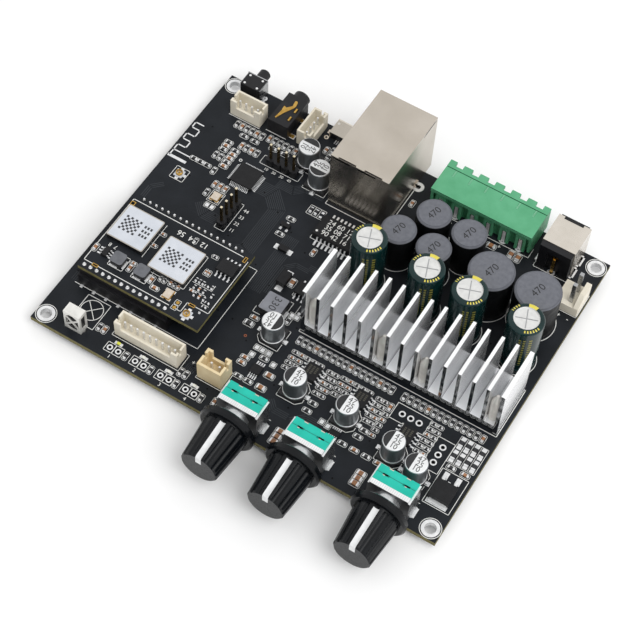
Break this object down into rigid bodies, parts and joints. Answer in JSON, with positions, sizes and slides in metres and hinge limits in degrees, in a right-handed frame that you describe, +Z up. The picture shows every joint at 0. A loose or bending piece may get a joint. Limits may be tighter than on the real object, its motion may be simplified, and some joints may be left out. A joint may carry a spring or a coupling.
{
  "type": "audio amplifier board",
  "caption": "Populated audio amplifier circuit board with finned heatsink, front control knobs, filter coils, tall capacitors, plug-in wireless module and rear connectors",
  "frame": {"origin": "centre of the four mounting holes, on the underside of the board", "axes": "+X along the front edge from the wireless module's side to the heatsink's side, +Y from the knobs at the front to the connectors at the back, +Z up"},
  "size_m": [0.125, 0.1204, 0.0252],
  "materials": {
    "board_black": "black solder mask on glass-fibre board",
    "sink_aluminium": "bare extruded",
    "plated_steel": "tin plated",
    "package_black": "moulded",
    "pad_grey": "soft pad",
    "ferrite_grey": "coated ferrite",
    "sleeve_green": "shrunk sleeve",
    "can_aluminium": "drawn",
    "pot_green": "moulded",
    "knob_black": "fine texture",
    "gold_plate": "gold plated",
    "nickel_shell": "nickel plated",
    "terminal_green": "moulded",
    "nylon_cream": "moulded nylon",
    "nylon_tan": "moulded nylon",
    "chip_tan": "sintered"
  },
  "bodies": {
    "board": {"pcb": "board_black", "heatsink": "sink_aluminium", "heatsink_screws": "plated_steel", "amplifier_chips": "package_black", "thermal_pads": "pad_grey", "filter_inductor_1": "ferrite_grey", "filter_inductor_2": "ferrite_grey", "filter_inductor_3": "ferrite_grey", "filter_inductor_4": "ferrite_grey", "bass_inductor_1": "ferrite_grey", "bass_inductor_2": "ferrite_grey", "bulk_capacitor_1": "sleeve_green", "bulk_capacitor_2": "sleeve_green", "bulk_capacitor_3": "sleeve_green", "bulk_capacitor_4": "sleeve_green", "smd_capacitors": "can_aluminium", "pot_housing_1": "pot_green", "pot_housing_2": "pot_green", "pot_housing_3": "pot_green", "pot_frame_1": "plated_steel", "pot_frame_2": "plated_steel", "pot_frame_3": "plated_steel", "module_board": "board_black", "module_shields": "plated_steel", "module_sockets": "package_black", "module_headers": "package_black", "module_pins": "gold_plate", "network_jack_shield": "nickel_shell", "network_jack_insulator": "package_black", "network_jack_contacts": "gold_plate", "data_socket_shell": "nickel_shell", "data_socket_tongue": "package_black", "audio_jack_body": "package_black", "audio_jack_contacts": "gold_plate", "switch_body": "package_black", "switch_frame": "nickel_shell", "terminal_housing": "terminal_green", "terminal_pins": "plated_steel", "dc_jack_body": "package_black", "dc_jack_shield": "nickel_shell", "dc_jack_contacts": "gold_plate", "power_header_housing": "nylon_cream", "power_header_pins": "plated_steel", "wire_connector_housings": "nylon_cream", "aux_connector_housing": "nylon_tan", "connector_pins": "plated_steel", "pin_header_bases": "package_black", "pin_header_pins": "gold_plate", "ir_receiver": "package_black", "ir_receiver_cage": "nickel_shell", "chip_packages": "package_black", "power_inductors": "ferrite_grey", "chip_components": "chip_tan"},
    "control_1": {"pot_shaft_1": "can_aluminium", "knob_1": "knob_black"},
    "control_2": {"pot_shaft_2": "can_aluminium", "knob_2": "knob_black"},
    "control_3": {"pot_shaft_3": "can_aluminium", "knob_3": "knob_black"},
    "push_button": {"switch_plunger": "package_black"}
  },
  "joints": [
    {"name": "control_1_turn", "type": "hinge", "parent": "board", "child": "control_1", "pos_m": [0.0026, -0.049, 0.0081], "axis": [0, 1, 0], "range_deg": [-150, 150]},
    {"name": "control_2_turn", "type": "hinge", "parent": "board", "child": "control_2", "pos_m": [0.0224, -0.049, 0.0081], "axis": [0, 1, 0], "range_deg": [-150, 150]},
    {"name": "control_3_turn", "type": "hinge", "parent": "board", "child": "control_3", "pos_m": [0.0475, -0.049, 0.0081], "axis": [0, 1, 0], "range_deg": [-150, 150]},
    {"name": "button_press", "type": "slide", "parent": "board", "child": "push_button", "axis": [0, -1, 0], "range_m": [0, 0.00025], "stiffness_N_per_m": 6000}
  ]
}
